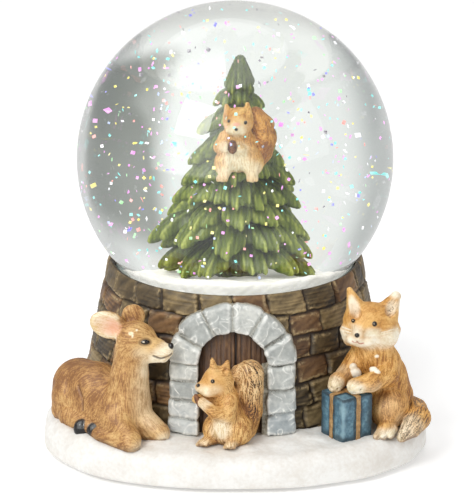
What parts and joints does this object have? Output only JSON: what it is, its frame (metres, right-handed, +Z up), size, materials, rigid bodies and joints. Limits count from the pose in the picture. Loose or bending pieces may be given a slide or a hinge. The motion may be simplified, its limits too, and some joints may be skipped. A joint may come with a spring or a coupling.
{
  "type": "snow globe",
  "caption": "Water-filled glass globe with a pine tree and squirrel inside, on a round brick base with a stone doorway, a fawn, a squirrel and a fox leaning on a gift.",
  "frame": {"origin": "on the table under the centre of the base's outline", "axes": "+Z up, -Y towards the doorway and the animals, +X towards the fox"},
  "size_m": [0.122, 0.122, 0.135],
  "materials": {
    "felt": "dark felt",
    "cover": "moulded, matt",
    "snow_paint": "painted resin snow, satin",
    "brick_paint": "painted resin, tan dry-brushed over dark brown",
    "stone_paint": "painted resin, white dry-brushed over blue-grey",
    "door_paint": "painted resin, dark red-brown wood",
    "fawn_paint": "hand-painted resin, satin",
    "door_squirrel_paint": "hand-painted resin, satin",
    "fox_paint": "hand-painted resin, satin",
    "nut_paint": "painted resin, satin",
    "gift_paint": "painted resin, slate blue",
    "ribbon_paint": "painted resin, tan gold",
    "globe_glass": "clear blown glass",
    "liquid": "clear liquid",
    "sealant": "clear grey silicone",
    "stopper_rubber": "moulded rubber",
    "island_paint": "painted resin snow, satin",
    "pine_paint": "painted resin, olive green",
    "tree_squirrel_paint": "hand-painted resin, satin",
    "glitter": "iridescent film flakes"
  },
  "bodies": {
    "root": {"felt_pad": "felt", "base_cover": "cover", "snow_base": "snow_paint", "brick_wall": "brick_paint", "stone_arch": "stone_paint", "wood_door": "door_paint", "fawn": "fawn_paint", "door_squirrel": "door_squirrel_paint", "door_squirrel_nut": "nut_paint", "fox": "fox_paint", "gift_box": "gift_paint", "gift_ribbon": "ribbon_paint", "glass_globe": "globe_glass", "liquid_fill": "liquid", "globe_seat_seal": "sealant", "neck_stopper": "stopper_rubber", "stopper_filling_pin": "stopper_rubber", "neck_seal_bead": "sealant", "snow_island": "island_paint", "pine_tree": "pine_paint", "tree_squirrel": "tree_squirrel_paint", "tree_squirrel_nut": "nut_paint"}
  },
  "joints": []
}
